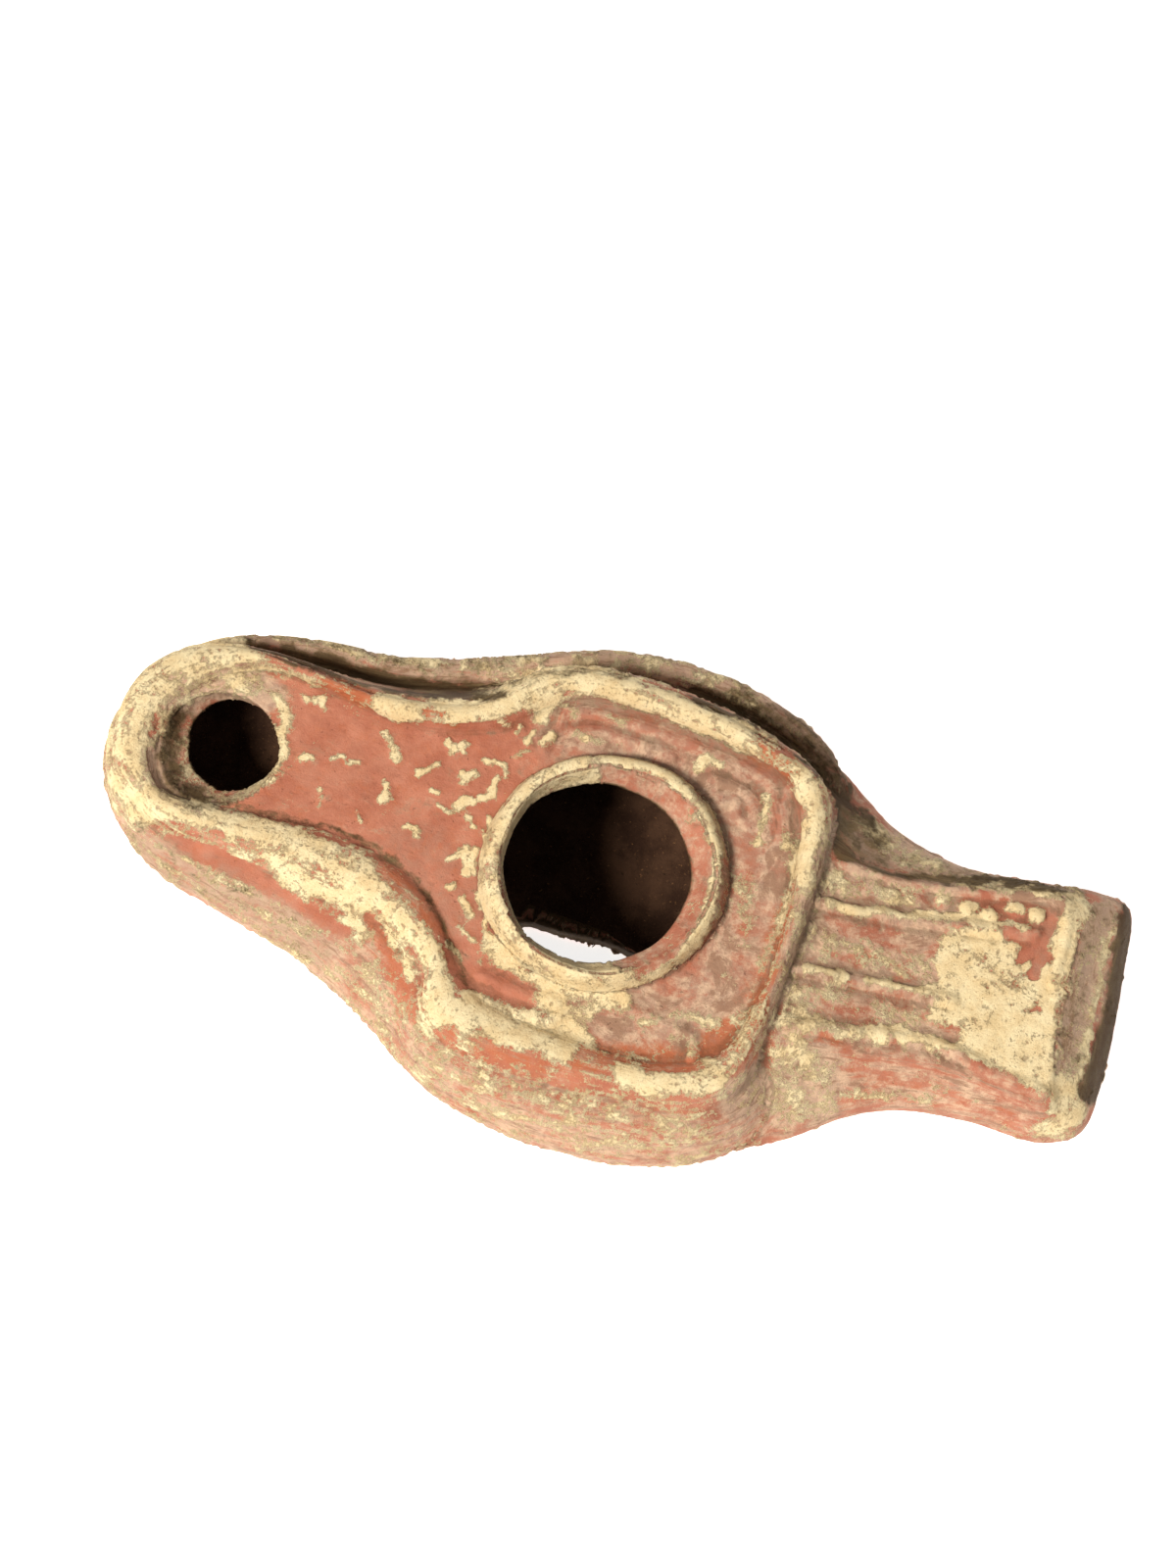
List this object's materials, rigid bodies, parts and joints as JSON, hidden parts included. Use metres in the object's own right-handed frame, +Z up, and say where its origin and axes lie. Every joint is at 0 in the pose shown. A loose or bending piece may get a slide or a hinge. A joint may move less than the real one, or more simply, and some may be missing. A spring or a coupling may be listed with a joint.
{
  "type": "roman oil lamp",
  "caption": "Mould-made fired-clay oil lamp with a channelled nozzle, raised ring round the filling hole and flat ribbed lug handle, on a flat foot.",
  "frame": {"origin": "under the middle of the bounding box, on the surface that the foot stands on", "axes": "+X from the nozzle to the handle along the lamp's length, +Z up out of the filling hole"},
  "size_m": [0.1108, 0.055, 0.0279],
  "materials": {
    "fired_clay": "matt red-brown fired clay with a cream earthy crust along its raised edges"
  },
  "bodies": {
    "root": {"oil_lamp": "fired_clay"}
  },
  "joints": []
}
